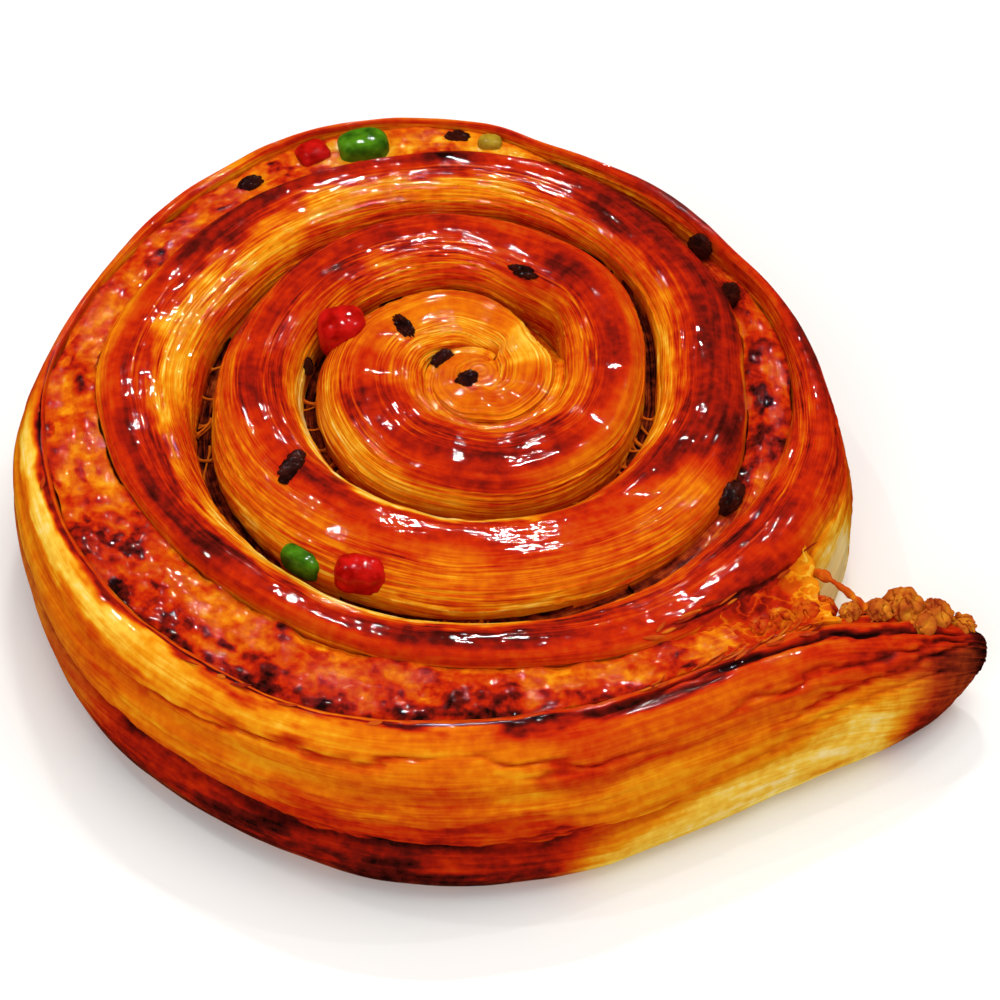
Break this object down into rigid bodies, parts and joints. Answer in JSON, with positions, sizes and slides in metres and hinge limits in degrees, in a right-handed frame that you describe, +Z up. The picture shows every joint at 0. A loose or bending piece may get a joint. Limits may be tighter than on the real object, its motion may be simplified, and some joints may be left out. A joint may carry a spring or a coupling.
{
  "type": "pain aux raisins",
  "caption": "Coiled slice of baked laminated dough with a swirl of browned custard, raisins and candied fruit, and a loose pointed tail.",
  "frame": {"origin": "on the flat underside, below the middle of the coil", "axes": "+Z up out of the swirl, +X towards the side with the loose tail, -Y towards the front of the tail's turn"},
  "size_m": [0.1392, 0.1286, 0.0273],
  "materials": {
    "dough": "baked laminated dough, egg-washed and syrup-glazed, golden yellow to dark red-brown",
    "custard": "baked custard, glossy, orange-brown with dark spots",
    "cherry": "candied cherry, red, moist and translucent",
    "melon": "green candied melon, moist",
    "citron": "yellow-green candied citron peel, moist",
    "raisin": "wrinkled raisin skin, nearly black"
  },
  "bodies": {
    "root": {"dough_coil": "dough", "custard_swirl": "custard", "candied_cherry_core": "cherry", "candied_cherry_front": "cherry", "candied_cherry_back": "cherry", "candied_melon_back": "melon", "candied_melon_front": "melon", "candied_citron_back": "citron", "raisin_core_left": "raisin", "raisin_core_near": "raisin", "raisin_centre": "raisin", "raisin_core_back": "raisin", "raisin_left": "raisin", "raisin_right": "raisin", "raisin_right_back": "raisin", "raisin_right_front": "raisin", "raisin_back_left": "raisin", "raisin_back": "raisin", "raisin_seam_left": "raisin"}
  },
  "joints": []
}
